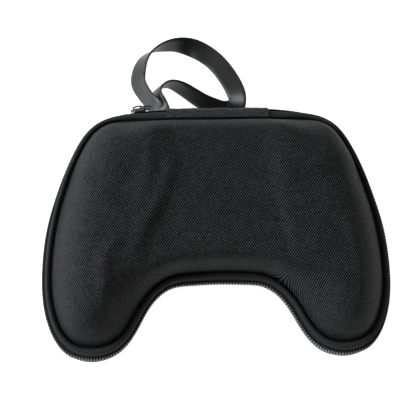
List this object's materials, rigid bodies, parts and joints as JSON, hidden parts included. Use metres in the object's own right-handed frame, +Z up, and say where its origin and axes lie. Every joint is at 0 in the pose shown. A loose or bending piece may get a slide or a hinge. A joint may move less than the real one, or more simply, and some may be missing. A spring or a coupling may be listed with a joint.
{
  "type": "controller carrying case",
  "caption": "Zipped hard-shell carrying case for a game controller: two moulded shells, hinge strip, slider and wrist strap.",
  "frame": {"origin": "on the table under the middle of the case, wrist strap left out", "axes": "+Z up, hinge at +Y, the two grips towards -Y"},
  "size_m": [0.1812, 0.1711, 0.07],
  "materials": {
    "shell_fabric": "matte ballistic weave laminated on moulded foam",
    "welt_fabric": "smooth rolled binding",
    "zip_tape": "close woven tape",
    "zip_coil": "nylon coil, soft sheen",
    "strip_fabric": "matte ballistic weave",
    "metal": "dark nickel plate",
    "webbing": "fine ribbed webbing, satin"
  },
  "bodies": {
    "base": {"base_shell": "shell_fabric", "base_welt": "welt_fabric", "base_zip_tape": "zip_tape", "base_zip_coil": "zip_coil", "base_inner_binding": "zip_tape", "hinge_strip": "strip_fabric", "hinge_lining": "zip_tape", "wrist_strap": "webbing"},
    "lid": {"lid_shell": "shell_fabric", "lid_welt": "welt_fabric", "lid_zip_tape": "zip_tape", "lid_zip_coil": "zip_coil", "lid_inner_binding": "zip_tape"},
    "slider": {"slider_body": "metal"},
    "ring": {"pull_ring": "metal"}
  },
  "joints": [
    {"name": "lid_hinge", "type": "hinge", "parent": "base", "child": "lid", "pos_m": [0, 0.067, 0.034], "axis": [-1, 0, 0], "range_deg": [0, 150], "deforming": ["hinge_strip", "hinge_lining"]},
    {"name": "slider_run", "type": "hinge", "parent": "base", "child": "slider", "pos_m": [-0.02464, -0.052, 0.034], "axis": [0, 0, 1], "range_deg": [0, 2.92]},
    {"name": "ring_swing", "type": "hinge", "parent": "slider", "child": "ring", "pos_m": [-0.03885, 0.06695, 0.034], "axis": [0, 0, 1], "range_deg": [0, 170]}
  ]
}
